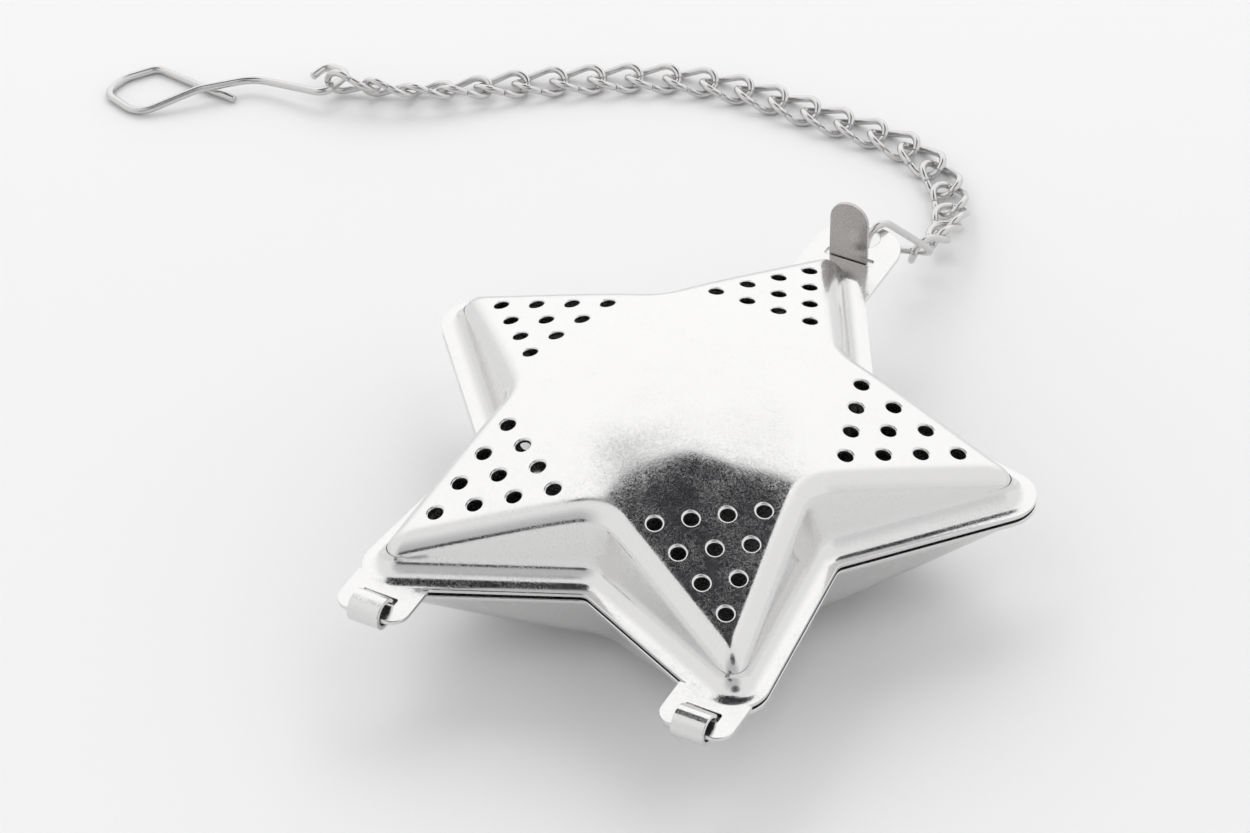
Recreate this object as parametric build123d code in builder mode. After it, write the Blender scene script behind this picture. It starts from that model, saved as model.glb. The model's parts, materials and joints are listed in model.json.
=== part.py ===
"""Star-shaped tea infuser: two perforated stamped star shells on a lift-off hinge pair,
a sprung latch tongue, and a twisted-link chain that ends in a wire cup hook.

Frame: origin on the surface the infuser rests on, under the star's centre; +Z up;
+Y towards the latch and the chain lug; the hinge line is parallel to X on the -Y side.
Millimetres throughout.
"""

import os
from math import cos, hypot, radians, sin, tan

from build123d import *

os.makedirs("parts", exist_ok=True)

# ---- driving dimensions -------------------------------------------------------------------
sheet = 0.45              # stainless sheet thickness
arms = 5
tip_reach = 39.1          # star corner radii of the flange before rounding
valley_reach = 21.5
tip_round = 3.6
valley_round = 1.2
flange_width = 2.1        # rim edge to the sharp foot of the wall
wall_draft = 9.0          # degrees from vertical
dish_height = 10.4        # top of flange to the flat crown
facet_slope = 16.8        # degrees, each arm's facet falls towards its tip
crown_apothem = 10.1      # centre to the straight edges of the flat crown
edge_round = 0.8          # rounding along the top of the walls
foot_round = 2.3          # rounding where the wall meets the flange
flange_gap = 0.4          # between the two closed flanges

hole_diameter = 1.5
hole_pitch = 3.6          # across the arm
row_pitch = 3.5           # along the arm
first_row = 17.0          # centre to the widest row
holes_in_rows = (4, 3, 2, 1)

hinge_line_y = -32.45
hinge_offset_x = 17.95    # centre of each hinge from the middle plane
tab_width = 7.85
tab_start_y = -28.0       # inside the rim, so that tab and flange are one sheet
tab_end_y = -33.5
tab_round = 1.8
bar_width = 2.1           # strip of the tab that the lower shell's curl holds
hinge_slot = (3.9, 1.1)   # across and along the tab
curl_width = 3.5
curl_inside = 1.2         # radius inside the curl
curl_opening = 15.0       # degrees between the tab plane and the end of the curl
strip_start_y = -28.4     # the curl's strip leaves the lower flange here,
strip_bends_y = (-29.6, -31.3)  # and slopes down between these two bends

plate_width = 9.5         # latch plate on the upper shell
plate_start_y = 31.0
plate_end_y = 42.6
plate_round = 4.2
latch_slot_width = 5.5
latch_slot_y = (36.2, 37.2)     # outer edge leaves room for the arc of the opening lid
lug_hole_y = 40.2
lug_hole_diameter = 3.5
tongue_width = 4.4
tongue_y = 36.5           # middle of the upright tongue
tongue_height = 7.0       # above the upper flange
tongue_bend = 0.45
lip_start_y = 33.0        # the lower flange's lip that carries the tongue
lip_end_y = 35.5
root_gap = 0.1            # slit between that lip and the flexing tongue

wire = 0.8                # chain wire diameter
link_length = 5.95        # centre line, end to end
link_width = 4.2          # centre line, across
link_twist = 70.0         # degrees from one end to the other
link_bend = 1.8
link_pitch = 4.35
chain_links = 22
chain_height = 1.02       # centre line of the chain above the surface it lies on
lug_link_width = 4.2
lug_link_roll = -55.0     # degrees about its own length
hook_wire = 0.9

# ---- values that follow ------------------------------------------------------------------
middle = dish_height + sheet + flange_gap / 2          # height of the parting plane
upper_flange = middle + flange_gap / 2                 # underside of the upper flange
tab_height = upper_flange + sheet / 2                  # middle of the upper sheet
lower_sheet = middle - flange_gap / 2 - sheet / 2      # middle of the lower sheet
half_sector = radians(180 / arms)
side_run = hypot(tip_reach - valley_reach * cos(half_sector), valley_reach * sin(half_sector))
side_distance = tip_reach * valley_reach * sin(half_sector) / side_run
flange_top = sheet
crown_top = flange_top + dish_height
curl_middle = curl_inside + sheet / 2                  # radius to the middle of the curl's sheet
curl_bottom_z = tab_height - curl_middle


def star_outline(inset):
    """Rounded star, its sides moved inwards by inset."""
    shrink = (side_distance - inset) / side_distance
    reaches = (tip_reach * shrink, valley_reach * shrink)
    corners = [
        Vector(reaches[i % 2], 0).rotate(Axis.Z, 90 + i * 180 / arms) for i in range(2 * arms)
    ]
    with BuildSketch() as star:
        with BuildLine():
            Polyline(*corners, close=True)
        make_face()
        halfway = sum(reaches) / 2
        tips = star.vertices().filter_by(lambda v: Vector(*v).length > halfway)
        fillet(tips, tip_round - inset)
        valleys = star.vertices().filter_by(lambda v: Vector(*v).length < reaches[1] + 0.01)
        fillet(valleys, valley_round + inset)
    return star.sketch


def dome(depth):
    """Solid of the dish, depth inside its outer surface: drafted walls, sloping facets, flat crown."""
    draft, slope = radians(wall_draft), radians(facet_slope)
    foot = star_outline(flange_width + depth / cos(draft) - flange_top * tan(draft))
    with BuildPart() as body:
        with BuildSketch():
            add(foot)
        extrude(amount=crown_top - depth, taper=wall_draft)
        for i in range(arms):
            outwards = Vector(1, 0, 0).rotate(Axis.Z, 90 + i * 360 / arms)
            on_facet = outwards * crown_apothem + Vector(0, 0, crown_top - depth / cos(slope))
            normal = outwards * sin(slope) + Vector(0, 0, cos(slope))
            split(bisect_by=Plane(origin=on_facet, z_dir=normal), keep=Keep.BOTTOM)
        top_faces = body.faces().filter_by(lambda f: f.normal_at().Z > 0.9)
        walls = body.faces().filter_by(lambda f: abs(f.normal_at().Z) < 0.5)
        wall_edges = {e for f in walls for e in f.edges()}
        top_edges = ShapeList(e for f in top_faces for e in f.edges() if e in wall_edges)
        fillet(top_edges, edge_round - depth)
    return body.part


def punch_centres():
    """Hole centres on the arm that points along +Y."""
    return [
        (hole_pitch * (i - (count - 1) / 2), first_row + row * row_pitch)
        for row, count in enumerate(holes_in_rows)
        for i in range(count)
    ]


def dish():
    """One stamped shell, flange underside on Z = 0 and crown up."""
    outline, outside, inside = star_outline(0), dome(0), dome(sheet)

    def meets_the_wall(edge):
        on_flange = all(abs(v.Z - flange_top) < 0.01 for v in edge.vertices())
        return on_flange and edge.distance_to(rim) > flange_width / 2

    with BuildPart() as shell:
        with BuildSketch():
            add(outline)
        extrude(amount=sheet)
        rim = shell.faces().sort_by(Axis.Z)[-1].outer_wire()
        add(outside)
        fillet(shell.edges().filter_by(meets_the_wall), foot_round)
        add(inside, mode=Mode.SUBTRACT)
        mouth = shell.faces().sort_by(Axis.Z)[0].inner_wires()[0]
        fillet(mouth.edges(), foot_round + sheet - 0.05)
        with PolarLocations(0, arms):
            with Locations(*[(x, y, crown_top) for x, y in punch_centres()]):
                Hole(hole_diameter / 2, depth=crown_top)
    return shell.part


# ---- shells ------------------------------------------------------------------------------
star_dish = dish()
upper_dish = star_dish.moved(Location((0, 0, upper_flange)))
lower_dish = star_dish.mirror(Plane.XY).moved(Location((0, 0, middle - flange_gap / 2)))
both_hinges = [(side * hinge_offset_x, 0) for side in (-1, 1)]

with BuildPart() as upper_shell:
    add(upper_dish)
    with BuildSketch(Plane.XY.offset(upper_flange)) as tabs:
        with Locations(*both_hinges):
            with Locations((0, (tab_start_y + tab_end_y) / 2)):
                Rectangle(tab_width, tab_start_y - tab_end_y)
        fillet(tabs.vertices().group_by(Axis.Y)[0], tab_round)
    extrude(amount=sheet)
    with BuildSketch(Plane.XY.offset(upper_flange)) as latch_plate:
        with Locations((0, (plate_start_y + plate_end_y) / 2)):
            Rectangle(plate_width, plate_end_y - plate_start_y)
        fillet(latch_plate.vertices().group_by(Axis.Y)[-1], plate_round)
    extrude(amount=sheet)
    with BuildSketch(Plane.XY.offset(upper_flange)):
        with Locations(*both_hinges):
            with Locations((0, hinge_line_y + bar_width / 2 + hinge_slot[1] / 2)):
                Rectangle(*hinge_slot)
        with Locations((0, sum(latch_slot_y) / 2)):
            Rectangle(latch_slot_width, latch_slot_y[1] - latch_slot_y[0])
        with Locations((0, lug_hole_y)):
            Circle(lug_hole_diameter / 2)
    extrude(amount=sheet, mode=Mode.SUBTRACT)

curl_end = Vector(curl_middle, 0).rotate(Axis.Z, curl_opening)
with BuildPart() as lower_shell:
    add(lower_dish)
    with BuildSketch(Plane.XY.offset(lower_sheet - sheet / 2)):
        with Locations((0, (lip_start_y + lip_end_y) / 2)):
            Rectangle(tongue_width, lip_end_y - lip_start_y)
    extrude(amount=sheet)
    for x, _ in both_hinges:
        with BuildSketch(Plane(origin=(x, 0, 0), x_dir=(0, 1, 0), z_dir=(1, 0, 0))):
            with BuildLine():
                Polyline(
                    (strip_start_y, lower_sheet),
                    (strip_bends_y[0], lower_sheet),
                    (strip_bends_y[1], curl_bottom_z),
                    (hinge_line_y, curl_bottom_z),
                )
                ThreePointArc(
                    (hinge_line_y, curl_bottom_z),
                    (hinge_line_y - curl_middle, tab_height),
                    (hinge_line_y + curl_end.X, tab_height + curl_end.Y),
                )
            trace(line_width=sheet)
        extrude(amount=curl_width / 2, both=True)

# ---- latch tongue ------------------------------------------------------------------------
with BuildPart() as latch_tongue:
    with BuildSketch(Plane.YZ):
        with BuildLine():
            FilletPolyline(
                (lip_end_y + root_gap, lower_sheet),
                (tongue_y, lower_sheet),
                (tongue_y, upper_flange + sheet + tongue_height),
                radius=tongue_bend,
            )
        trace(line_width=sheet)
    extrude(amount=tongue_width / 2, both=True)
    thumb_corners = latch_tongue.edges().filter_by(Axis.Y).group_by(Axis.Z)[-1]
    fillet(thumb_corners, tongue_width / 2 - 0.05)

# ---- chain -------------------------------------------------------------------------------
def twisted_link(length, width, twist, bend, wire_diameter):
    """Closed wire link along X; its two ends are turned about X by half the twist each."""
    lean = radians(twist / 2)
    half = length / 2
    across, up = width / 2 * cos(lean), width / 2 * sin(lean)
    with BuildPart() as half_link:
        with BuildLine() as half_loop:
            FilletPolyline(
                (0, across, 0), (half, across, up), (half, -across, -up), (0, -across, 0),
                radius=bend,
            )
        with BuildSketch(Plane(origin=half_loop.line @ 0, z_dir=half_loop.line % 0)):
            Circle(wire_diameter / 2)
        sweep(path=half_loop.line)
    with BuildPart() as link:
        with PolarLocations(0, 2):
            add(half_link.part)
    return link.part


def stations(route, count, pitch):
    """Points spaced by one pitch along the route."""
    points, along = [route @ 0], 0.0
    step = pitch / route.length
    for _ in range(count):
        low, high = along, along + 1.5 * step
        for _ in range(40):
            guess = (low + high) / 2
            if (route @ guess - points[-1]).length < pitch:
                low = guess
            else:
                high = guess
        along = high
        points.append(route @ along)
    return points


def place_between(link, start, end, roll):
    """Link centred between two points with its X axis along them."""
    run = (end - start).normalized()
    sideways = Vector(0, 0, 1).cross(run).normalized()
    seat = Plane(origin=(start + end) / 2, x_dir=run, z_dir=run.cross(sideways))
    return link.rotate(Axis.X, roll).moved(seat.location)


def link_roll(number):
    """Links lie flat except near the lug and near the hook, where their loops stand up."""
    from_lug, to_hook = number - 1, chain_links - number
    return min(0, -45 + 12 * from_lug) + max(0, 55 - 12 * to_hook)


with BuildLine() as route:
    Spline(
        (2.7, 47.8, 5.4), (3.0, 52.0, 3.9), (2.3, 56.4, 2.5), (0.5, 61.0, 1.5),
        (-3.2, 65.8, chain_height), (-9.0, 68.7, chain_height), (-18, 69.4, chain_height),
        (-29, 70.0, chain_height), (-37.5, 68.7, chain_height), (-47, 64.0, 1.05),
        (-56, 58.2, 1.15), (-60, 55.0, 1.48), (-64, 52.3, 1.85), (-69, 50.4, 2.15),
        (-74.5, 48.9, 2.45),
    )
pivots = stations(route.wire(), chain_links, link_pitch)
plain_link = twisted_link(link_length, link_width, link_twist, link_bend, wire)
chain = {
    f"chain_link_{i + 1:02}": place_between(plain_link, pivots[i], pivots[i + 1], link_roll(i + 1))
    for i in range(chain_links)
}

# the first link is longer: it goes down through the plate's hole and holds the chain
overlap = (link_length - link_pitch) / 2
lug_entry = Vector(0.3, lug_hole_y + 0.75, tab_height + 0.2)
lug_run = pivots[0] - lug_entry
lug_loop = twisted_link(lug_run.length + overlap, lug_link_width, link_twist, link_bend, wire)
lug_start = lug_entry + lug_run.normalized() * overlap
lug_link = place_between(lug_loop, lug_start, pivots[0], lug_link_roll)

# ---- cup hook ----------------------------------------------------------------------------
low = hook_wire / 2
bow = pivots[-1] + (pivots[-2] - pivots[-1]).normalized() * 0.35
hook_points = [
    (bow.X - 3.6, bow.Y + 0.3, 1.6), (bow.X - 3.0, bow.Y + 2.6, 1.8),
    (bow.X + 0.35, bow.Y + 2.3, 2.1), (bow.X - 0.35, bow.Y - 2.3, 2.1),
    (bow.X - 3.6, bow.Y - 2.4, 1.8), (-81.8, 46.8, 1.4), (-86.3, 41.9, 1.7),
    (-91.0, 36.2, low), (-96.6, 37.9, low), (-96.0, 41.4, low), (-93.6, 44.6, low),
    (-87.5, 43.9, low), (-82.4, 43.5, low),
]
hook_bends = [1.2, 1.4, 1.4, 1.8, 5.0, 5.0, 3.0, 1.8, 3.0, 1.6, 3.0]
with BuildPart() as cup_hook:
    with BuildLine() as hook_line:
        FilletPolyline(*hook_points, radius=hook_bends)
    with BuildSketch(Plane(origin=hook_line.line @ 0, z_dir=hook_line.line % 0)):
        Circle(hook_wire / 2)
    sweep(path=hook_line.line)

# ---- one file for each piece -------------------------------------------------------------
pieces = {
    "upper_shell": upper_shell.part,
    "lower_shell": lower_shell.part,
    "latch_tongue": latch_tongue.part,
    "lug_link": lug_link,
    **chain,
    "cup_hook": cup_hook.part,
}
for name, piece in pieces.items():
    piece.label = name
    export_step(piece, f"parts/{name}.step")
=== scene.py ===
"""Looks of the star-shaped tea infuser: stamped, polished steel shells, the latch tongue, the wire chain.

Shapes are worked out in millimetres from the driving dimensions below and turned into metres when a
piece is made. Every piece stands for the CAD node of its own name and rides on that node's body.
"""
import json
import math

import bmesh
import bpy
import numpy as np
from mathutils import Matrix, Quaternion, Vector
from mathutils.geometry import delaunay_2d_cdt

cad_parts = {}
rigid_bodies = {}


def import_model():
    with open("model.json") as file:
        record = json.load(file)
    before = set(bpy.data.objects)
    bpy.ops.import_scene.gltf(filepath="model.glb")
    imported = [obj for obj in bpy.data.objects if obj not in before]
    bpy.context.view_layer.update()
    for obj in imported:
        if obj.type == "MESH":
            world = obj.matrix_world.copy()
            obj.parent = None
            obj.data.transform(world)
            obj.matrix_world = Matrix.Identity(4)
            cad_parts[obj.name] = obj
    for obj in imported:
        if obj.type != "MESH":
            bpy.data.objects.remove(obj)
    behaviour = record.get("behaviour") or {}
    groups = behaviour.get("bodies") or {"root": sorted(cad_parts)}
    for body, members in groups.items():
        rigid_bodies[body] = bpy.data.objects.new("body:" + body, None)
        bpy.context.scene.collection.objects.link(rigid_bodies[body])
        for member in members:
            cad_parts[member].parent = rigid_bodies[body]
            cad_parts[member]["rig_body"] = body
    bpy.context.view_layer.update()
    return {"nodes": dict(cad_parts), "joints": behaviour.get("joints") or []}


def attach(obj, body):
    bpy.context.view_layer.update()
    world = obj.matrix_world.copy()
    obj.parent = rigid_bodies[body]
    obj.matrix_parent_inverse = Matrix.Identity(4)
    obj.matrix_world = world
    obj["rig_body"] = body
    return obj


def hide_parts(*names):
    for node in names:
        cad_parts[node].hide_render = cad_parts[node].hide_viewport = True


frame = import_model()

MM = 0.001

# ---- driving dimensions, millimetres and degrees -----------------------------------------
SHEET = 0.45
ARMS = 5
TIP_REACH, VALLEY_REACH = 39.1, 21.5
TIP_ROUND, VALLEY_ROUND = 3.6, 1.2
TIP_SOFTNESS = 0.6            # least rounding that a tip keeps as its outline moves inwards
FLANGE_WIDTH = 2.1
WALL_DRAFT = math.radians(9.0)
DISH_HEIGHT = 10.4
FACET_SLOPE = math.radians(16.8)
CROWN_APOTHEM = 9.4
CREASE_BLEND = 0.9            # length over which the crown turns into a facet, on the arm's middle line
SHOULDER_BLEND = 4.5          # how much longer that gets towards the valleys
SHOULDER_REACH = 6.0
VALLEY_BLEND = 1.0
EDGE_ROUND = 1.8
FOOT_ROUND = 2.3
FLANGE_GAP = 0.4
RIM_ROUND = 0.07              # dulled edge of the cut sheet
CURL_SPARE, TONGUE_SPARE = 0.004, 0.02   # kept inside the CAD model's box
FOOT_RINGS, WALL_RINGS, EDGE_RINGS, LIP_RINGS = 9, 8, 12, 6
FARTHEST_INSET, HALVINGS = 9.0, 45       # of the search for where wall and top meet
MERGE_DISTANCE = 2e-4

HOLE_RADIUS = 0.75
HOLE_ROLLOVER = 0.24          # rounded lip that the punch leaves
HOLE_PITCH, ROW_PITCH, FIRST_ROW = 3.6, 3.5, 17.0
HOLES_IN_ROWS = (4, 3, 2, 1)
SLOT_CORNER = 0.15

HINGE_Y, HINGE_X = -32.45, 17.95
TAB_WIDTH, TAB_START_Y, TAB_END_Y, TAB_ROUND = 7.85, -28.0, -33.5, 1.8
BAR_WIDTH = 2.1
HINGE_SLOT = (3.9, 1.1)
CURL_WIDTH, CURL_INSIDE, CURL_OPENING = 3.5, 1.2, math.radians(15.0)
STRIP_START_Y, STRIP_BENDS_Y = -28.4, (-29.6, -31.3)
STRIP_LEAD, STRIP_ROUNDS = (0.05, -0.25), [0.45, 0.6]

PLATE_WIDTH, PLATE_START_Y, PLATE_END_Y, PLATE_ROUND = 9.5, 31.0, 42.6, 4.2
LATCH_SLOT_WIDTH, LATCH_SLOT_Y = 5.5, (36.2, 37.2)
LUG_HOLE_Y, LUG_HOLE_RADIUS = 40.2, 1.75
TONGUE_WIDTH, TONGUE_Y, TONGUE_HEIGHT, TONGUE_BEND = 4.4, 36.5, 7.0, 0.45
TONGUE_LEAN = math.radians(3.5)
LIP_START_Y, LIP_END_Y, ROOT_GAP = 33.0, 35.5, 0.1

WIRE = 0.8
LINK_LENGTH, LINK_WIDTH, LINK_BEND = 5.95, 4.2, 1.8
LUG_LINK_WIDTH = 4.2
LINK_TWIST = math.radians(70.0)
LINK_PITCH = 4.35
LUG_LINK_ROLL = math.radians(-55.0)
LUG_ENTRY = (0.3, 0.75, 0.2)  # from the middle of the lug's hole to the lug link's near end
FIRST_ROLL, LAST_ROLL, ROLL_STEP = -45, 55, 12   # degrees; the step is what each link takes off
HOOK_WIRE = 0.9
BOW_SHIFT = 0.35              # the hook's bow sits this far from the last pivot, towards the chain

# ---- values that follow ------------------------------------------------------------------
MIDDLE = DISH_HEIGHT + SHEET + FLANGE_GAP / 2
UPPER_FLANGE = MIDDLE + FLANGE_GAP / 2
TAB_HEIGHT = UPPER_FLANGE + SHEET / 2
LOWER_FACE = MIDDLE - FLANGE_GAP / 2
LOWER_SHEET = LOWER_FACE - SHEET / 2
CROWN_TOP = SHEET + DISH_HEIGHT
HALF_SECTOR = math.pi / ARMS
valley_corner = (VALLEY_REACH * math.cos(HALF_SECTOR), VALLEY_REACH * math.sin(HALF_SECTOR))
SIDE_NORMAL = math.atan2(TIP_REACH - valley_corner[0], valley_corner[1])
SIDE_DISTANCE = TIP_REACH * math.cos(SIDE_NORMAL)
VALLEY_WEDGE = math.pi / 2 - (SIDE_NORMAL - HALF_SECTOR)


# ---- mesh helpers ------------------------------------------------------------------------
class Skin:
    """Collects points and faces in millimetres, then becomes one Blender mesh."""

    def __init__(self):
        self.points, self.faces, self.finishes = [], [], []

    def add(self, points, faces, finish=0):
        start = len(self.points)
        self.points.extend(tuple(float(c) for c in p) for p in points)
        self.faces.extend([start + i for i in face] for face in faces)
        self.finishes.extend([finish] * len(faces))

    def bands(self, rings, finish=0):
        """Quads between closed rings that have the same number of points."""
        count = len(rings[0])
        points = [p for ring in rings for p in ring]
        faces = []
        for level in range(len(rings) - 1):
            for i in range(count):
                j = (i + 1) % count
                a, b = level * count, (level + 1) * count
                faces.append([a + i, a + j, b + j, b + i])
        self.add(points, faces, finish)

    def piece(self, name, node, materials, slot, sharp=20.0, place=None):
        """One object that stands for the CAD node and rides on its body."""
        mesh = bpy.data.meshes.new(name)
        points = np.array(self.points)
        if place is not None:
            points = place(points)
        mesh.from_pydata((points * MM).tolist(), [], self.faces)
        mesh.polygons.foreach_set("material_index", self.finishes)
        bm = bmesh.new()
        bm.from_mesh(mesh)
        bmesh.ops.remove_doubles(bm, verts=bm.verts, dist=MERGE_DISTANCE * MM)
        bmesh.ops.recalc_face_normals(bm, faces=bm.faces)
        bm.to_mesh(mesh)
        bm.free()
        mesh.polygons.foreach_set("use_smooth", [True] * len(mesh.polygons))
        mesh.set_sharp_from_angle(angle=math.radians(sharp))
        for material in materials:
            mesh.materials.append(material)
        obj = bpy.data.objects.new(name, mesh)
        bpy.context.scene.collection.objects.link(obj)
        body = frame["nodes"][node]["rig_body"]
        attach(obj, body)
        return obj


def with_height(ring, z):
    """Flat ring of (x, y) lifted to z, a number or one number for each point."""
    ring = np.asarray(ring, float)
    return np.column_stack([ring, np.broadcast_to(z, len(ring))])


def turned(points, angle):
    c, s = math.cos(angle), math.sin(angle)
    points = np.asarray(points, float)
    return np.column_stack([points[:, 0] * c - points[:, 1] * s, points[:, 0] * s + points[:, 1] * c])


def filled(outer, cutouts, loose=(), rings=()):
    """Triangles of the region inside outer and outside every cutout, through the loose points and rings."""
    points, faces, edges = [], [], []
    for loop in [outer, *cutouts]:
        faces.append(list(range(len(points), len(points) + len(loop))))
        points.extend(loop)
    for ring in rings:
        start, count = len(points), len(ring)
        edges.extend((start + i, start + (i + 1) % count) for i in range(count))
        points.extend(ring)
    points.extend(loose)
    flat = [Vector((float(p[0]), float(p[1]))) for p in points]
    out, _, tris, _, _, owners = delaunay_2d_cdt(flat, edges, faces, 0, 1e-6)
    kept = [t for t, own in zip(tris, owners) if 0 in own and all(o == 0 for o in own)]
    used = sorted({i for t in kept for i in t})
    place = {old: new for new, old in enumerate(used)}
    return np.array([tuple(out[i]) for i in used]), [[place[i] for i in t] for t in kept]


def union_outline(loops):
    """Outer boundary of overlapping loops, anticlockwise."""
    points, faces = [], []
    for loop in loops:
        faces.append(list(range(len(points), len(points) + len(loop))))
        points.extend(Vector((float(p[0]), float(p[1]))) for p in loop)
    out, _, tris, _, _, owners = delaunay_2d_cdt(points, [], faces, 0, 1e-6)
    following = {}
    used = set()
    for t, own in zip(tris, owners):
        if own:
            for i in range(3):
                used.add((t[i], t[(i + 1) % 3]))
    for a, b in used:
        if (b, a) not in used:
            following[a] = b
    start = max(following, key=lambda i: out[i].x)
    loop, here = [start], following[start]
    while here != start:
        loop.append(here)
        here = following[here]
    return np.array([tuple(out[i]) for i in loop])


def moved_in(loop, distance):
    """Loop shifted to its left by distance; anticlockwise loops shrink, clockwise ones grow."""
    before, after = np.roll(loop, 1, 0), np.roll(loop, -1, 0)
    d1 = loop - before
    d2 = after - loop
    d1 /= np.linalg.norm(d1, axis=1)[:, None]
    d2 /= np.linalg.norm(d2, axis=1)[:, None]
    n1 = np.column_stack([-d1[:, 1], d1[:, 0]])
    n2 = np.column_stack([-d2[:, 1], d2[:, 0]])
    bisector = n1 + n2
    bisector /= np.maximum((bisector * n1).sum(1), 0.5)[:, None]
    return loop + bisector * distance


def rounded(points, radii, step=8.0):
    """Polyline with each inner corner turned into an arc of its radius; any number of dimensions."""
    points = [np.asarray(p, float) for p in points]
    path = [points[0]]
    for before, corner, after, radius in zip(points, points[1:], points[2:], radii):
        a = (before - corner) / np.linalg.norm(before - corner)
        b = (after - corner) / np.linalg.norm(after - corner)
        half = math.acos(np.clip(a @ b, -1, 1)) / 2
        inwards = (a + b) / np.linalg.norm(a + b)
        centre = corner + inwards * radius / math.sin(half)
        first, last = corner + a * radius / math.tan(half), corner + b * radius / math.tan(half)
        sweep = math.pi - 2 * half
        count = max(2, math.ceil(math.degrees(sweep) / step))
        u, v = (first - centre) / radius, (last - centre) / radius
        for i in range(count + 1):
            t = i / count
            towards = (math.sin((1 - t) * sweep) * u + math.sin(t * sweep) * v) / math.sin(sweep)
            path.append(centre + radius * towards)
    path.append(points[-1])
    return np.array(path)


def box_loop(centre, width, depth, radius, sides=(True, True)):
    """Anticlockwise rectangle; sides says whether the low-y and the high-y corners are rounded."""
    x, y = centre
    corners = [(x - width / 2, y - depth / 2), (x + width / 2, y - depth / 2),
               (x + width / 2, y + depth / 2), (x - width / 2, y + depth / 2)]
    loop = []
    for i, corner in enumerate(corners):
        if sides[0 if i < 2 else 1]:
            loop.extend(rounded([corners[i - 1], corner, corners[(i + 1) % 4]], [radius])[1:-1])
        else:
            loop.append(np.array(corner))
    return np.array(loop)


def circle_loop(centre, radius, count):
    angles = np.arange(count) * 2 * math.pi / count
    return np.column_stack([centre[0] + radius * np.cos(angles), centre[1] + radius * np.sin(angles)])


# ---- the star's outline at any inset -----------------------------------------------------
TIP_STEPS, SIDE_STEPS, VALLEY_STEPS = 9, 22, 6


def half_sector(inset):
    """Points of one half arm, from its tip to the valley, with the arm along +X.

    inset holds one value for each point.
    """
    scale = (SIDE_DISTANCE - inset) / SIDE_DISTANCE
    spare = TIP_ROUND - inset
    tip_radius = (spare + np.sqrt(spare**2 + 4 * TIP_SOFTNESS**2)) / 2
    tip_centre = TIP_REACH * scale - tip_radius / math.cos(SIDE_NORMAL)
    valley_radius = VALLEY_ROUND + inset
    valley_reach = VALLEY_REACH * scale + valley_radius / math.sin(VALLEY_WEDGE)
    valley_x, valley_y = valley_reach * math.cos(HALF_SECTOR), valley_reach * math.sin(HALF_SECTOR)
    tip_turn = np.linspace(0, SIDE_NORMAL, TIP_STEPS)
    valley_turn = np.linspace(SIDE_NORMAL, HALF_SECTOR, VALLEY_STEPS)
    share = np.linspace(0, 1, SIDE_STEPS + 2)[1:-1]
    x, y = np.empty(len(inset)), np.empty(len(inset))
    a, b = slice(0, TIP_STEPS), slice(TIP_STEPS, TIP_STEPS + SIDE_STEPS)
    c = slice(TIP_STEPS + SIDE_STEPS, None)
    x[a] = tip_centre[a] + tip_radius[a] * np.cos(tip_turn)
    y[a] = tip_radius[a] * np.sin(tip_turn)
    x[c] = valley_x[c] - valley_radius[c] * np.cos(valley_turn)
    y[c] = valley_y[c] - valley_radius[c] * np.sin(valley_turn)
    nx, ny = math.cos(SIDE_NORMAL), math.sin(SIDE_NORMAL)
    x1, y1 = tip_centre[b] + tip_radius[b] * nx, tip_radius[b] * ny
    x2, y2 = valley_x[b] - valley_radius[b] * nx, valley_y[b] - valley_radius[b] * ny
    x[b] = x1 + (x2 - x1) * share
    y[b] = y1 + (y2 - y1) * share
    return x, y


HALF_COUNT = TIP_STEPS + SIDE_STEPS + VALLEY_STEPS


def whole_star(x, y, *others):
    """Half-arm points mirrored and repeated round the star, anticlockwise, with values that go with them."""
    xs, ys = np.concatenate([x, x[-2:0:-1]]), np.concatenate([y, -y[-2:0:-1]])
    half_flat = np.column_stack([xs, ys])
    # order one arm from its clockwise valley to its anticlockwise valley
    order = np.r_[HALF_COUNT - 1 : len(xs), 0 : HALF_COUNT - 1]
    arm = half_flat[order]
    arm[0] = (x[-1], -y[-1])
    ring = np.concatenate([turned(arm, math.pi / 2 + i * 2 * HALF_SECTOR) for i in range(ARMS)])
    carried = [np.tile(np.concatenate([v, v[-2:0:-1]])[order], ARMS) for v in others]
    return ring if not others else (ring, *carried)


def star_loop(inset):
    return whole_star(*half_sector(np.full(HALF_COUNT, float(inset))))


ARM_AXES = np.array([
    (math.cos(math.pi / 2 + i * 2 * HALF_SECTOR), math.sin(math.pi / 2 + i * 2 * HALF_SECTOR))
    for i in range(ARMS)
])


def top_height(x, y):
    """Height of the pressed top: a low crown that runs smoothly into five sloping facets."""
    x, y = np.asarray(x), np.asarray(y)
    along = np.multiply.outer(x, ARM_AXES[:, 0]) + np.multiply.outer(y, ARM_AXES[:, 1])
    across = np.multiply.outer(y, ARM_AXES[:, 0]) - np.multiply.outer(x, ARM_AXES[:, 1])
    blend = CREASE_BLEND + SHOULDER_BLEND * across**2 / (across**2 + SHOULDER_REACH**2)
    past = blend * np.logaddexp(0, (along - CROWN_APOTHEM) / blend)
    drop = VALLEY_BLEND * np.log(np.exp(past / VALLEY_BLEND).sum(-1) - (ARMS - 1))
    return CROWN_TOP - math.tan(FACET_SLOPE) * drop


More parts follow.
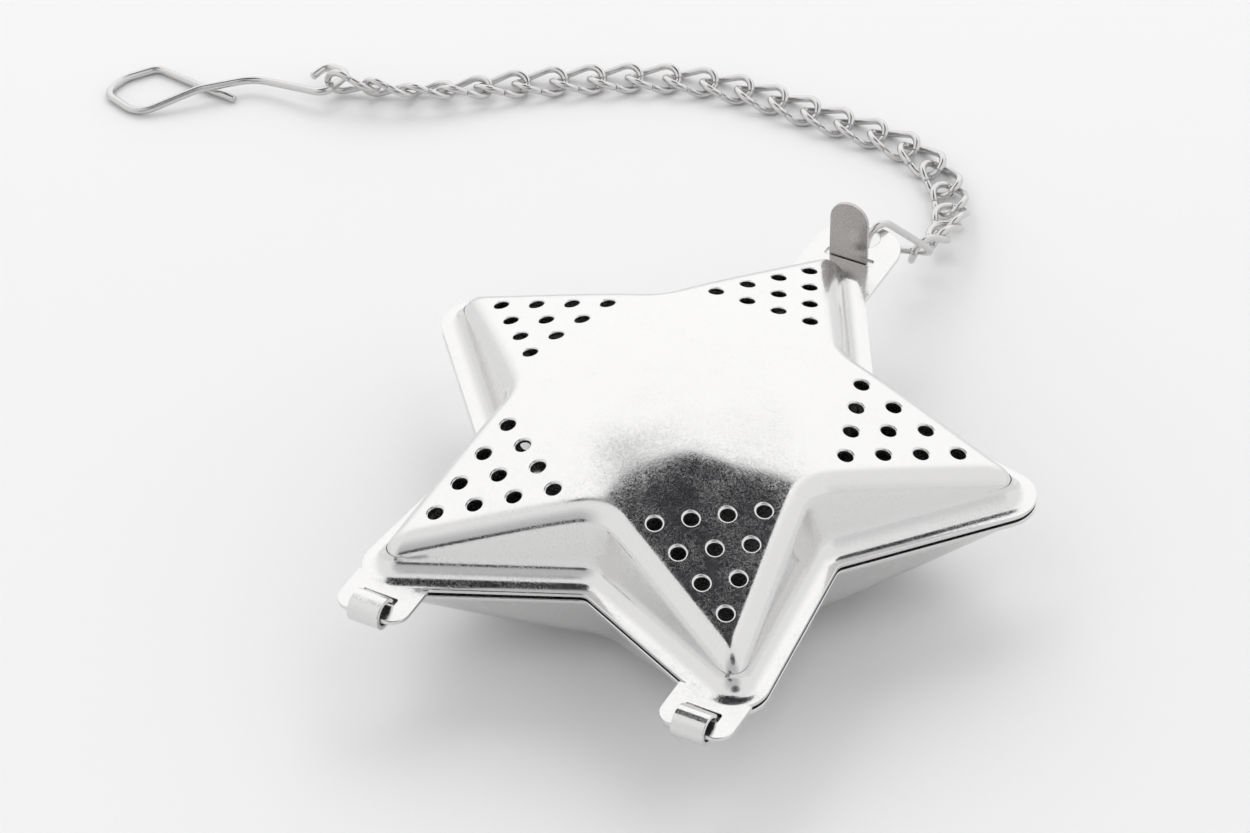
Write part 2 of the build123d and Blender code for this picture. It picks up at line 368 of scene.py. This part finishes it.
def dish_rings(depth):
    """Rings from the flange up the wall to the top, for the surface that lies depth inside the outer one."""
    draft = math.tan(WALL_DRAFT)
    flange_z = SHEET - depth
    foot_radius = FOOT_ROUND + depth
    foot_inset = FLANGE_WIDTH + depth / math.cos(WALL_DRAFT) - depth * draft
    climb = foot_radius * (1 - math.sin(WALL_DRAFT)) / math.cos(WALL_DRAFT)
    centre_inset = foot_inset + climb * math.sin(WALL_DRAFT) - foot_radius * math.cos(WALL_DRAFT)
    rings = []
    for turn in np.linspace(-math.pi / 2, -WALL_DRAFT, FOOT_RINGS):
        inset = centre_inset + foot_radius * math.cos(turn)
        rings.append(with_height(star_loop(inset), flange_z + foot_radius * (1 + math.sin(turn))))
    foot_end = centre_inset + foot_radius * math.cos(WALL_DRAFT)

    def wall_height(inset):
        return flange_z + (inset - foot_inset) / draft

    edge_radius = EDGE_ROUND - depth
    solved = []
    for turn in np.linspace(0, math.pi / 2, EDGE_RINGS):
        from_wall = edge_radius * (1 - math.cos(turn)) / math.sin(WALL_DRAFT)
        from_top = (edge_radius * (1 - math.sin(turn)) + depth) / math.cos(FACET_SLOPE)
        low, high = np.full(HALF_COUNT, foot_inset), np.full(HALF_COUNT, FARTHEST_INSET)
        for _ in range(HALVINGS):
            inset = (low + high) / 2
            short = top_height(*half_sector_turned(inset)) - from_top > wall_height(inset) - from_wall
            low, high = np.where(short, inset, low), np.where(short, high, inset)
        solved.append((low, wall_height(low) - from_wall))
    wall_top = solved[0][0]
    for share in np.linspace(0, 1, WALL_RINGS)[1:-1]:
        inset = foot_end + (wall_top - foot_end) * share
        ring, z = whole_star(*half_sector(inset), wall_height(inset))
        rings.append(with_height(ring, z))
    for inset, z in solved:
        ring, heights = whole_star(*half_sector(inset), z)
        rings.append(with_height(ring, heights))
    return rings


def half_sector_turned(inset):
    """The half arm placed on the arm that points along +Y, where top_height can be read."""
    x, y = half_sector(inset)
    return -y, x


def punch_centres():
    """Hole centres of every arm."""
    first = np.array([
        (HOLE_PITCH * (i - (count - 1) / 2), FIRST_ROW + row * ROW_PITCH)
        for row, count in enumerate(HOLES_IN_ROWS)
        for i in range(count)
    ])
    return np.concatenate([turned(first, arm * 2 * HALF_SECTOR) for arm in range(ARMS)])


CENTRES = punch_centres()
OUTSIDE, INSIDE = 0, 1
HOLE_POINTS = 28
HOLE_APRON = 0.25             # last ring of points round a hole, beyond its rounded lip
GRID = 0.95                   # spacing of the points that carry the top's shape
GRID_CLEARANCE = 0.55 * GRID  # those points stay this far from the holes' rounded lips
TOP_MARGIN = FLANGE_WIDTH + 3.6   # and this far from the sides of the sharp star


def inside_distance(points):
    """Distance of each point from the sides of its own arm of the sharp star, positive inside."""
    own_arm = (points @ ARM_AXES.T).argmax(1)
    result = np.full(len(points), np.inf)
    for side in (-1, 1):
        angles = math.pi / 2 + own_arm * 2 * HALF_SECTOR + side * SIDE_NORMAL
        across = points[:, 0] * np.cos(angles) + points[:, 1] * np.sin(angles)
        result = np.minimum(result, SIDE_DISTANCE - across)
    return result


def grid_points():
    """Triangular grid inside the star, clear of the punched holes."""
    reach = int(TIP_REACH / GRID) + 1
    grid = np.array([
        ((i + (j % 2) / 2) * GRID, j * GRID * math.sqrt(3) / 2)
        for j in range(-reach - 6, reach + 7)
        for i in range(-reach, reach + 1)
    ])
    grid = grid[inside_distance(grid) > TOP_MARGIN]
    spacing = np.linalg.norm(grid[:, None] - CENTRES[None], axis=2).min(1)
    return grid[spacing > HOLE_RADIUS + HOLE_ROLLOVER + GRID_CLEARANCE]


def add_top(skin, loop, depth):
    """The perforated top inside the last ring of the dish; the outer face's holes have a rounded lip."""
    lower = depth / math.cos(FACET_SLOPE)
    lip_radii = [HOLE_RADIUS]
    if depth == 0:
        turns = np.linspace(0, math.pi / 2, LIP_RINGS)
        lip_radii = [HOLE_RADIUS + HOLE_ROLLOVER * (1 - math.cos(t)) for t in turns]
    cutouts, rings = [], []
    for centre in CENTRES:
        stack = [circle_loop(centre, r, HOLE_POINTS) for r in lip_radii]
        cutouts.append(stack[0])
        rings.extend(stack[1:])
        rings.append(circle_loop(centre, HOLE_RADIUS + HOLE_ROLLOVER + HOLE_APRON, HOLE_POINTS))
    flat, triangles = filled(loop, cutouts, grid_points(), rings)
    z = top_height(flat[:, 0], flat[:, 1]) - lower
    if depth == 0:
        near = np.linalg.norm(flat[:, None] - CENTRES[None], axis=2).min(1)
        out = np.clip((near - HOLE_RADIUS) / HOLE_ROLLOVER, 0, 1)
        z -= HOLE_ROLLOVER * (1 - np.sqrt(1 - (1 - out) ** 2))
    skin.add(np.column_stack([flat, z]), triangles, OUTSIDE if depth == 0 else INSIDE)


def add_hole_walls(skin):
    """The cut edge of every hole, from the rounded lip down to the inside face."""
    for centre in CENTRES:
        ring = circle_loop(centre, HOLE_RADIUS, HOLE_POINTS)
        top = top_height(ring[:, 0], ring[:, 1])
        inner = top - SHEET / math.cos(FACET_SLOPE)
        # the hole walls take the inside material, whose dark base colour is painted shade
        skin.bands([with_height(ring, top - HOLE_ROLLOVER), with_height(ring, inner)], INSIDE)


def add_flange(skin, outline, cutouts, upper_foot, lower_foot):
    """Flat sheet from the foot of the wall to the outline, with dulled edges and its cutouts."""
    r = RIM_ROUND
    steps = [(r, SHEET), (0.3 * r, SHEET - 0.3 * r), (0, SHEET - r), (0, r), (0.3 * r, 0.3 * r), (r, 0)]
    for loop in [outline, *[c[::-1] for c in cutouts]]:
        skin.bands([with_height(moved_in(loop, inset), z) for inset, z in steps])
    outer = moved_in(outline, r)
    inner = [moved_in(c[::-1], r)[::-1] for c in cutouts]
    for foot, z in ((upper_foot, SHEET), (lower_foot, 0.0)):
        flat, triangles = filled(outer, [foot, *inner])
        skin.add(with_height(flat, z), triangles)


def shell_skin(outline, cutouts):
    """A whole stamped shell, flange underside on z = 0 and crown up."""
    skin = Skin()
    outside, inside = dish_rings(0.0), dish_rings(SHEET)
    skin.bands(outside, OUTSIDE)
    # inner faces take the second material, whose dark base colour is painted shade
    skin.bands(inside, INSIDE)
    add_top(skin, outside[-1][:, :2], 0.0)
    add_top(skin, inside[-1][:, :2], SHEET)
    add_hole_walls(skin)
    add_flange(skin, outline, cutouts, outside[0][:, :2], inside[0][:, :2])
    return skin


# ---- materials ---------------------------------------------------------------------------
def maths_in(tree):
    """A function that adds a maths node to the tree, fed by numbers and sockets."""
    def maths(operation, *values):
        node = tree.nodes.new("ShaderNodeMath")
        node.operation = operation
        for socket, value in zip(node.inputs, values):
            if isinstance(value, (int, float)):
                socket.default_value = value
            else:
                tree.links.new(value, socket)
        return node.outputs[0]

    return maths


def steel(name, colour, smooth, rough, grain, grain_height, wave_height):
    """Polished steel: fine winding fibres, patches of duller polish and a faint waviness of the sheet."""
    material = bpy.data.materials.new(name)
    material.use_nodes = True
    nodes, links = material.node_tree.nodes, material.node_tree.links
    shader = nodes["Principled BSDF"]
    shader.inputs["Base Color"].default_value = (*colour, 1)
    shader.inputs["Metallic"].default_value = 1.0
    place = nodes.new("ShaderNodeTexCoord")
    maths = maths_in(material.node_tree)

    def noise(scale, detail, roughness, distortion=0.0):
        node = nodes.new("ShaderNodeTexNoise")
        node.inputs["Scale"].default_value = scale
        node.inputs["Detail"].default_value = detail
        node.inputs["Roughness"].default_value = roughness
        node.inputs["Distortion"].default_value = distortion
        links.new(place.outputs["Object"], node.inputs["Vector"])
        return node.outputs["Fac"]

    def ramp(value, low, high, to_low, to_high):
        node = nodes.new("ShaderNodeMapRange")
        for key, number in (("From Min", low), ("From Max", high), ("To Min", to_low), ("To Max", to_high)):
            node.inputs[key].default_value = number
        links.new(value, node.inputs["Value"])
        return node.outputs["Result"]

    def fibres(scale):
        """One along thin winding lines and nought between them."""
        ridge = maths("ABSOLUTE", maths("SUBTRACT", noise(scale, 2.0, 0.5, 2.2), 0.5))
        return ramp(ridge, 0.0, 0.05, 1.0, 0.0)

    lines = maths("MAXIMUM", fibres(grain), fibres(grain * 0.6))
    patches = ramp(noise(grain / 9, 3.0, 0.6, 0.4), 0.38, 0.64, 0.0, 1.0)
    worn = maths("MULTIPLY", lines, maths("MULTIPLY_ADD", patches, 0.3, 0.7))
    dull = maths("MULTIPLY_ADD", patches, 0.08, maths("MULTIPLY", worn, 0.92))
    links.new(ramp(dull, 0.0, 1.0, smooth, rough), shader.inputs["Roughness"])

    normal = None
    waves, texture = noise(170.0, 2.0, 0.5), noise(grain, 3.0, 0.6, 1.0)
    for height, distance in ((waves, wave_height), (texture, grain_height)):
        bump = nodes.new("ShaderNodeBump")
        bump.inputs["Strength"].default_value = 1.0
        bump.inputs["Distance"].default_value = distance
        links.new(height, bump.inputs["Height"])
        if normal is not None:
            links.new(normal, bump.inputs["Normal"])
        normal = bump.outputs["Normal"]
    links.new(normal, shader.inputs["Normal"])
    return material


sheet_steel = steel("polished_sheet_steel", (0.735, 0.729, 0.725), 0.09, 0.34, 2000.0, 4e-6, 5e-6)
# Inside faces: far darker base colour than the outside steel, painted shade for the enclosed inside seen
# through the holes; the higher roughness is a duller polish
inside_painted_shade_steel = steel("dull_inside_painted_shade_steel", (0.30, 0.297, 0.29), 0.25, 0.5, 1500.0, 5e-6, 6e-6)
# Tongue: same sheet steel with a darker base colour, painted shade for a face that mirrors the dark side of
# the room
tongue_painted_shade_steel = steel("tongue_painted_shade_steel", (0.50, 0.482, 0.473), 0.24, 0.36, 1200.0, 2e-6, 5e-6)
wire_steel = steel("bright_wire_steel", (0.63, 0.622, 0.618), 0.14, 0.3, 1800.0, 3e-6, 4e-6)


# ---- shells ------------------------------------------------------------------------------
def upper_outline():
    loops = [star_loop(0.0)]
    for side in (-1, 1):
        middle = (side * HINGE_X, (TAB_START_Y + TAB_END_Y) / 2)
        loops.append(box_loop(middle, TAB_WIDTH, TAB_START_Y - TAB_END_Y, TAB_ROUND, (True, False)))
    plate_middle = (0, (PLATE_START_Y + PLATE_END_Y) / 2)
    loops.append(box_loop(plate_middle, PLATE_WIDTH, PLATE_END_Y - PLATE_START_Y, PLATE_ROUND, (False, True)))
    return union_outline(loops)


def upper_cutouts():
    slot_y = HINGE_Y + BAR_WIDTH / 2 + HINGE_SLOT[1] / 2
    cuts = [box_loop((side * HINGE_X, slot_y), *HINGE_SLOT, SLOT_CORNER) for side in (-1, 1)]
    low, high = LATCH_SLOT_Y
    cuts.append(box_loop((0, (low + high) / 2), LATCH_SLOT_WIDTH, high - low, SLOT_CORNER))
    cuts.append(circle_loop((0, LUG_HOLE_Y), LUG_HOLE_RADIUS, 40))
    return cuts


def lower_outline():
    loops = [star_loop(0.0)]
    for side in (-1, 1):
        middle = (side * HINGE_X, (STRIP_START_Y + STRIP_BENDS_Y[0]) / 2)
        loops.append(box_loop(middle, CURL_WIDTH, STRIP_START_Y - STRIP_BENDS_Y[0], 0, (False, False)))
    lip = (0, (LIP_START_Y + LIP_END_Y) / 2)
    loops.append(box_loop(lip, TONGUE_WIDTH, LIP_END_Y - LIP_START_Y, 0, (False, False)))
    return union_outline(loops)


def as_upper(points):
    return points + np.array([0, 0, UPPER_FLANGE])


def as_lower(points):
    return points * np.array([1, 1, -1]) + np.array([0, 0, LOWER_FACE])


upper = shell_skin(upper_outline(), upper_cutouts()).piece(
    "upper_shell_sheet", "upper_shell", [sheet_steel, inside_painted_shade_steel], "polished_sheet", place=as_upper)
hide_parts("upper_shell")
lower = shell_skin(lower_outline(), []).piece(
    "lower_shell_sheet", "lower_shell", [sheet_steel, inside_painted_shade_steel], "polished_sheet", place=as_lower)
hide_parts("lower_shell")


# ---- bent strips: hinge curls and tongue -------------------------------------------------
def strip_skin(path, widths, thickness, x=0.0):
    """Strip of sheet that follows a path of (y, z) points, with dulled edges and a width at each point."""
    path = np.asarray(path, float)
    ahead = np.gradient(path, axis=0)
    ahead /= np.linalg.norm(ahead, axis=1)[:, None]
    across = np.column_stack([-ahead[:, 1], ahead[:, 0]])
    half, r = thickness / 2, RIM_ROUND
    section = [(-1, 0, r - half), (-1, 0, half - r), (-1, 0.3 * r, half - 0.3 * r), (-1, r, half),
               (1, r, half), (1, 0.3 * r, half - 0.3 * r), (1, 0, half - r), (1, 0, r - half),
               (1, 0.3 * r, 0.3 * r - half), (1, r, -half), (-1, r, -half), (-1, 0.3 * r, 0.3 * r - half)]
    rings = []
    for point, out, width in zip(path, across, widths):
        rings.append([
            (x + side * max(width / 2 - inset, 0.01), *(point + out * lift)) for side, inset, lift in section
        ])
    skin = Skin()
    skin.bands(rings)
    count = len(section)
    skin.add(rings[0], [list(range(count))])
    skin.add(rings[-1], [list(range(count))])
    return skin


def curl_path():
    middle = CURL_INSIDE + SHEET / 2 - CURL_SPARE
    bottom = TAB_HEIGHT - middle
    flat = [(STRIP_BENDS_Y[0] + along, LOWER_SHEET) for along in STRIP_LEAD]
    lead = rounded([*flat, (STRIP_BENDS_Y[1], bottom), (HINGE_Y, bottom)], STRIP_ROUNDS)
    turns = np.linspace(-math.pi / 2, -2 * math.pi + CURL_OPENING, 34)[1:]
    curl = [(HINGE_Y + middle * math.cos(t), TAB_HEIGHT + middle * math.sin(t)) for t in turns]
    return np.concatenate([lead, curl])


def make_curls():
    path = curl_path()
    for side, name in ((-1, "hinge_curl_left"), (1, "hinge_curl_right")):
        strip_skin(path, np.full(len(path), CURL_WIDTH), SHEET, side * HINGE_X).piece(
            name, "lower_shell", [sheet_steel], "polished_sheet")


def tongue_path():
    top = UPPER_FLANGE + SHEET + TONGUE_HEIGHT - TONGUE_SPARE
    lean = (top - LOWER_SHEET) * math.tan(TONGUE_LEAN)
    path = rounded([(LIP_END_Y + ROOT_GAP, LOWER_SHEET), (TONGUE_Y, LOWER_SHEET), (TONGUE_Y + lean, top)],
                   [TONGUE_BEND])
    share = np.sin(np.linspace(0, math.pi / 2, 60))[1:, None]
    return np.concatenate([path[:-1], path[-2] + (path[-1] - path[-2]) * share])


def make_tongue():
    """The tongue's strip, with a half-round free end."""
    path = tongue_path()
    radius = TONGUE_WIDTH / 2
    below_top = path[-1][1] - path[:, 1]
    into_end = np.clip((radius - below_top) / radius, 0, 1)
    # the tongue's darker steel is painted shade
    tongue = strip_skin(path, TONGUE_WIDTH * np.sqrt(1 - into_end**2), SHEET).piece(
        "latch_tongue_strip", "latch_tongue", [tongue_painted_shade_steel], "polished_sheet")
    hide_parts("latch_tongue")


make_curls()
make_tongue()


# ---- wire: chain links and cup hook ------------------------------------------------------
def tube_skin(path, radius, sides=14):
    """Round wire along an open path, with softly dulled ends."""
    path = np.asarray(path, float)
    ahead = np.gradient(path, axis=0)
    ahead /= np.linalg.norm(ahead, axis=1)[:, None]
    side = np.cross(ahead[0], (0.3, 0.2, 1.0))
    side /= np.linalg.norm(side)
    angles = np.arange(sides) * 2 * math.pi / sides
    frames = []
    for direction in ahead:
        side = side - direction * (side @ direction)
        side /= np.linalg.norm(side)
        frames.append((side, np.cross(direction, side)))
    rings = []
    dull = 0.3 * radius
    ends = [(0.72, 0.0), (0.92, dull * 0.35), (1.0, dull)]
    for share, along in ends:
        rings.append((path[0] + ahead[0] * along, frames[0], radius * share))
    for point, axes in list(zip(path, frames))[1:-1]:
        rings.append((point, axes, radius))
    for share, along in reversed(ends):
        rings.append((path[-1] - ahead[-1] * along, frames[-1], radius * share))
    loops = [
        [centre + r * (math.cos(a) * u + math.sin(a) * v) for a in angles] for centre, (u, v), r in rings
    ]
    skin = Skin()
    skin.bands(loops)
    skin.add(loops[0], [list(range(sides))])
    skin.add(loops[-1], [list(range(sides))])
    return skin


def link_path(length, width, twist, bend, seam=0.06):
    """Closed wire link along X as an open path whose two ends meet at a butt seam."""
    half, across = length / 2, width / 2 * math.cos(twist / 2)
    up = width / 2 * math.sin(twist / 2)
    corners = [(half, across, up), (half, -across, -up), (-half, -across, up), (-half, across, -up)]
    start, end = np.array([-seam / 2, across, 0]), np.array([seam / 2, across, 0])
    return rounded([end, *corners, start], [bend] * 4, step=9.0)


def seated(path, start, end, roll):
    """Link path turned about its length by roll and laid from start to end."""
    run = (end - start) / np.linalg.norm(end - start)
    sideways = np.cross((0, 0, 1), run)
    sideways /= np.linalg.norm(sideways)
    upwards = np.cross(run, sideways)
    c, s = math.cos(roll), math.sin(roll)
    y, z = path[:, 1] * c - path[:, 2] * s, path[:, 1] * s + path[:, 2] * c
    return (start + end) / 2 + np.outer(path[:, 0], run) + np.outer(y, sideways) + np.outer(z, upwards)


def link_roll(number, count):
    """Tilt of a link's mean plane: none in mid chain, one way near the lug, the other near the hook."""
    from_lug, to_hook = number - 1, count - number
    near_lug = min(0, FIRST_ROLL + ROLL_STEP * from_lug)
    near_hook = max(0, LAST_ROLL - ROLL_STEP * to_hook)
    return math.radians(near_lug + near_hook)


joint_places = {j["child"]: np.array(j["pos_m"]) / MM for j in frame["joints"]}
link_names = sorted(n for n in frame["nodes"] if n.startswith("chain_link_"))
pivots = [joint_places[n] for n in [*link_names, "cup_hook"]]


def make_wire(name, node, path, radius):
    obj = tube_skin(path, radius).piece(name, node, [wire_steel], "bright_wire", sharp=40.0)
    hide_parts(node)


def make_links():
    link = link_path(LINK_LENGTH, LINK_WIDTH, LINK_TWIST, LINK_BEND)
    for i, node in enumerate(link_names):
        place = seated(link, pivots[i], pivots[i + 1], link_roll(i + 1, len(link_names)))
        make_wire(node + "_wire", node, place, WIRE / 2)


def make_lug_link():
    """The link that joins the chain's first pivot to the hole in the lug."""
    entry = np.array([0, LUG_HOLE_Y, TAB_HEIGHT]) + LUG_ENTRY
    run = pivots[0] - entry
    reach = np.linalg.norm(run)
    spare = (LINK_LENGTH - LINK_PITCH) / 2
    link = link_path(reach + spare, LUG_LINK_WIDTH, LINK_TWIST, LINK_BEND)
    place = seated(link, entry + run / reach * spare, pivots[0], LUG_LINK_ROLL)
    make_wire("lug_link_wire", "lug_link", place, WIRE / 2)


def make_hook():
    """The bow round the last link, the shank, and the loop that hangs on a cup."""
    back = pivots[-2] - pivots[-1]
    bow_x, bow_y, _ = pivots[-1] + back / np.linalg.norm(back) * BOW_SHIFT
    bow = [
        (bow_x - 3.6, bow_y + 0.3, 1.6), (bow_x - 3.0, bow_y + 2.6, 1.8), (bow_x + 0.35, bow_y + 2.3, 2.1),
        (bow_x - 0.35, bow_y - 2.3, 2.1), (bow_x - 3.6, bow_y - 2.4, 1.8),
    ]
    shank = [(-81.8, 46.8, 1.4), (-86.3, 41.9, 1.7)]
    on_table = HOOK_WIRE / 2
    loop = [
        (-91.0, 36.2, on_table), (-96.6, 37.9, on_table), (-96.0, 41.4, on_table),
        (-93.6, 44.6, on_table), (-87.5, 43.9, on_table), (-82.4, 43.5, on_table),
    ]
    bends = [1.2, 1.4, 1.4, 1.8, 5.0, 5.0, 3.0, 1.8, 3.0, 1.6, 3.0]
    make_wire("cup_hook_wire", "cup_hook", rounded(bow + shank + loop, bends, step=7.0), HOOK_WIRE / 2)


make_links()
make_lug_link()
make_hook()


# ---- studio ------------------------------------------------------------------------------
BACK_AZIMUTH = 118            # the bright side, in degrees anticlockwise from +X
LIGHT_DISTANCE = 1.1          # metres
FLOOR_REACH = 6.0             # metres
CAMERA_PLACE, CAMERA_AIM = (174.43, -311.27, 330.17), (-9.45, 4.19, 11.05)   # millimetres
CAMERA_ROLL = math.radians(-2.62)
CAMERA_LENS = 136.3           # millimetres, on a sensor 36 mm wide


def direction(azimuth, elevation):
    """Unit vector; azimuth is anticlockwise from +X, both in degrees."""
    a, e = math.radians(azimuth), math.radians(elevation)
    return Vector((math.cos(a) * math.cos(e), math.sin(a) * math.cos(e), math.sin(e)))


def make_floor():
    mesh = bpy.data.meshes.new("floor")
    low, high = -FLOOR_REACH, FLOOR_REACH
    corners = [(low, low, 0), (high, low, 0), (high, high, 0), (low, high, 0)]
    mesh.from_pydata(corners, [], [(0, 1, 2, 3)])
    floor = bpy.data.objects.new("floor", mesh)
    bpy.context.scene.collection.objects.link(floor)
    material = bpy.data.materials.new("pale_floor")
    material.use_nodes = True
    nodes, links = material.node_tree.nodes, material.node_tree.links
    shader = nodes["Principled BSDF"]
    place = nodes.new("ShaderNodeTexCoord")
    noise = nodes.new("ShaderNodeTexNoise")
    noise.inputs["Scale"].default_value = 3.0
    ramp = nodes.new("ShaderNodeMapRange")
    ramp.inputs["To Min"].default_value = 0.87
    ramp.inputs["To Max"].default_value = 0.9
    links.new(place.outputs["Object"], noise.inputs["Vector"])
    links.new(noise.outputs["Fac"], ramp.inputs["Value"])
    links.new(ramp.outputs["Result"], shader.inputs["Base Color"])
    shader.inputs["Roughness"].default_value = 0.9
    shader.inputs["Specular IOR Level"].default_value = 0.1
    mesh.materials.append(material)


def make_world():
    """White studio: a bright back, a dimmer front, and the dark gaps that the steel mirrors."""
    world = bpy.data.worlds.new("studio")
    bpy.context.scene.world = world
    world.use_nodes = True
    nodes, links = world.node_tree.nodes, world.node_tree.links
    background = nodes["Background"]
    place = nodes.new("ShaderNodeTexCoord")
    axes = nodes.new("ShaderNodeSeparateXYZ")
    links.new(place.outputs["Generated"], axes.inputs[0])
    maths = maths_in(world.node_tree)
    white = (1.0, 1.0, 1.0)

    def faded(value, low, high):
        """Smoothly from nought at low to one at high."""
        fade = nodes.new("ShaderNodeMapRange")
        fade.interpolation_type = "SMOOTHSTEP"
        fade.inputs["From Min"].default_value = low
        fade.inputs["From Max"].default_value = high
        links.new(value, fade.inputs["Value"])
        return fade.outputs["Result"]

    def mixed(share, under, tint):
        mix = nodes.new("ShaderNodeMix")
        mix.data_type = "RGBA"
        links.new(share, mix.inputs[0])
        if under is None:
            mix.inputs[6].default_value = (*white, 1)
        else:
            links.new(under, mix.inputs[6])
        mix.inputs[7].default_value = (*tint, 1)
        return mix.outputs[2]

    def patch(under, centre, inner, outer, tint):
        """Mixes tint in around a direction; full inside inner degrees and none outside outer."""
        dot = nodes.new("ShaderNodeVectorMath")
        dot.operation = "DOT_PRODUCT"
        dot.inputs[1].default_value = direction(*centre)
        links.new(place.outputs["Generated"], dot.inputs[0])
        angle = maths("ARCCOSINE", dot.outputs["Value"])
        outside = faded(angle, math.radians(inner), math.radians(outer))
        return mixed(maths("SUBTRACT", 1.0, outside), under, tint)

    def gap(under, centre, reach, tint):
        """Mixes tint in over a rounded rectangle overhead, given in the x and y of unit directions."""
        outward = 0.0
        for axis, middle, half in zip("XY", centre, reach):
            across = maths("MULTIPLY_ADD", axes.outputs[axis], 1 / half, -middle / half)
            square = maths("MULTIPLY", across, across)
            outward = maths("MULTIPLY_ADD", square, square, outward)
        inside = maths("SUBTRACT", 1.0, faded(outward, 0.85, 1.25))
        return mixed(maths("MULTIPLY", inside, faded(axes.outputs["Z"], 0.0, 0.2)), under, tint)

    # bright back, dim front, dark gap overhead, and two small dark areas low and high in front
    colour = patch(None, (BACK_AZIMUTH, 38), 30, 60, (1.30, 1.30, 1.30))
    colour = patch(colour, (-65, 12), 20, 60, (0.60, 0.60, 0.61))
    colour = gap(colour, (-0.12, 0.14), (0.265, 0.357), (0.030, 0.030, 0.034))
    colour = patch(colour, (-78, 2), 8, 16, (0.05, 0.05, 0.055))
    colour = patch(colour, (-50, 50), 11, 20, (0.12, 0.12, 0.13))
    links.new(colour, background.inputs["Color"])
    background.inputs["Strength"].default_value = 1.0


def make_lights():
    """One soft box behind the star. It lights the table and isn't mirrored in the steel."""
    centre = Vector((0, 0, 0.011))
    light = bpy.data.lights.new("back_softbox", "AREA")
    light.shape = "RECTANGLE"
    light.size, light.size_y = 0.9, 0.7
    light.energy = 3.0
    obj = bpy.data.objects.new("back_softbox", light)
    bpy.context.scene.collection.objects.link(obj)
    obj.location = centre + direction(BACK_AZIMUTH, 45) * LIGHT_DISTANCE
    obj.visible_glossy = False
    obj.rotation_mode = "QUATERNION"
    obj.rotation_quaternion = (centre - obj.location).to_track_quat("-Z", "Y")


def make_camera():
    """At the viewing angle of the picture, 41 degrees above the table and 30 degrees round from -Y."""
    camera = bpy.data.objects.new("camera", bpy.data.cameras.new("camera"))
    bpy.context.scene.collection.objects.link(camera)
    camera.location = Vector(CAMERA_PLACE) * MM
    aim = Vector(CAMERA_AIM) * MM
    camera.rotation_mode = "QUATERNION"
    look = (aim - camera.location).to_track_quat("-Z", "Y")
    camera.rotation_quaternion = look @ Quaternion((0, 0, 1), CAMERA_ROLL)
    camera.data.sensor_width = 36.0
    camera.data.lens = CAMERA_LENS
    camera.data.clip_start, camera.data.clip_end = 0.01, 20.0
    bpy.context.scene.camera = camera


make_floor()
make_world()
make_lights()
make_camera()
bpy.context.scene.view_settings.view_transform = "Standard"
